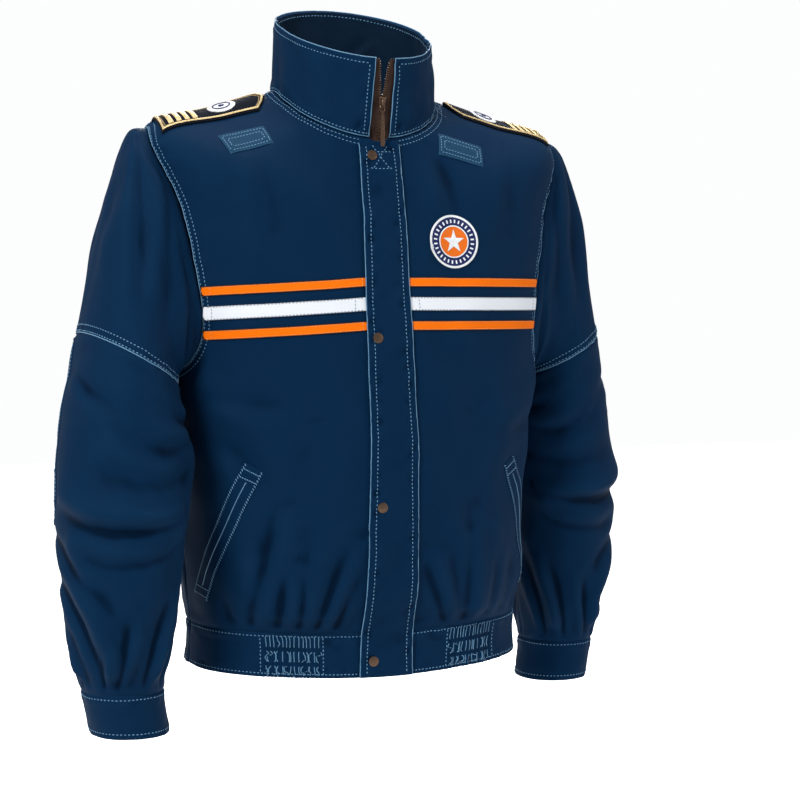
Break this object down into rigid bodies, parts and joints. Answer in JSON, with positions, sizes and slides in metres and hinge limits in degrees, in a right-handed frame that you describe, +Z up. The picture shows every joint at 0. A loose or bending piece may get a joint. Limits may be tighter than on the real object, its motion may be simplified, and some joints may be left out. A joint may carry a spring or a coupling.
{
  "type": "softshell jacket",
  "caption": "Navy softshell blouson jacket, filled out as worn, with stand collar, storm flap over the zip, shirred hem band, reflective tapes, orange back yoke and shoulder boards",
  "frame": {"origin": "middle of the neck opening, level with the side of the neck, where the wearer holds the jacket up", "axes": "+X to the wearer's left, -Y to the front, +Z up"},
  "size_m": [0.6764, 0.2894, 0.761],
  "materials": {
    "navy_cloth": "softshell face, matt with a slight sheen",
    "orange_cloth": "softshell face, high-visibility orange",
    "orange_tape": "woven tape",
    "white_tape": "silvery white reflective tape",
    "board_felt": "matt felt",
    "gold_braid": "metallic thread braid",
    "white_disc": "embroidered disc",
    "zip_tape": "woven zip tape",
    "bronze": "dark antique finish",
    "loop_cloth": "softshell face, stitched over",
    "badge": "embroidered badge"
  },
  "bodies": {
    "jacket": {"back_panel": "navy_cloth", "back_yoke": "orange_cloth", "board_bar_left_1": "gold_braid", "board_bar_left_2": "gold_braid", "board_bar_left_3": "gold_braid", "board_bar_left_4": "gold_braid", "board_bar_right_1": "gold_braid", "board_bar_right_2": "gold_braid", "board_bar_right_3": "gold_braid", "board_bar_right_4": "gold_braid", "board_braid_left": "gold_braid", "board_braid_right": "gold_braid", "board_disc_left": "white_disc", "board_disc_right": "white_disc", "chest_badge": "badge", "collar": "navy_cloth", "cuff_left": "navy_cloth", "cuff_right": "navy_cloth", "elbow_patch_left": "navy_cloth", "elbow_patch_right": "navy_cloth", "flap": "navy_cloth", "front_left": "navy_cloth", "front_right": "navy_cloth", "hem_back": "navy_cloth", "hem_front_left": "navy_cloth", "hem_front_right": "navy_cloth", "pocket_left": "navy_cloth", "pocket_right": "navy_cloth", "radio_loop_left": "loop_cloth", "radio_loop_right": "loop_cloth", "shoulder_board_left": "board_felt", "shoulder_board_right": "board_felt", "sleeve_badge": "navy_cloth", "sleeve_lower_left": "navy_cloth", "sleeve_lower_right": "navy_cloth", "sleeve_upper_left": "navy_cloth", "sleeve_upper_right": "navy_cloth", "snap_cuff_left_lap": "bronze", "snap_cuff_left_spare": "bronze", "snap_cuff_right_lap": "bronze", "snap_cuff_right_spare": "bronze", "snap_flap_1": "bronze", "snap_flap_2": "bronze", "snap_flap_3": "bronze", "snap_flap_4": "bronze", "tape_lower_back": "orange_tape", "tape_lower_front_left": "orange_tape", "tape_lower_front_right": "orange_tape", "tape_middle_back": "white_tape", "tape_middle_front_left": "white_tape", "tape_middle_front_right": "white_tape", "tape_upper_back": "orange_tape", "tape_upper_front_left": "orange_tape", "tape_upper_front_right": "orange_tape", "zip_slider": "bronze", "zip_tape_left": "zip_tape", "zip_tape_right": "zip_tape"},
    "pull": {"zip_pull": "bronze"}
  },
  "joints": [
    {"name": "pull_swing", "type": "hinge", "parent": "jacket", "child": "pull", "pos_m": [0, -0.09587, -0.02129], "axis": [-1, 0, 0], "range_deg": [0, 150]}
  ]
}
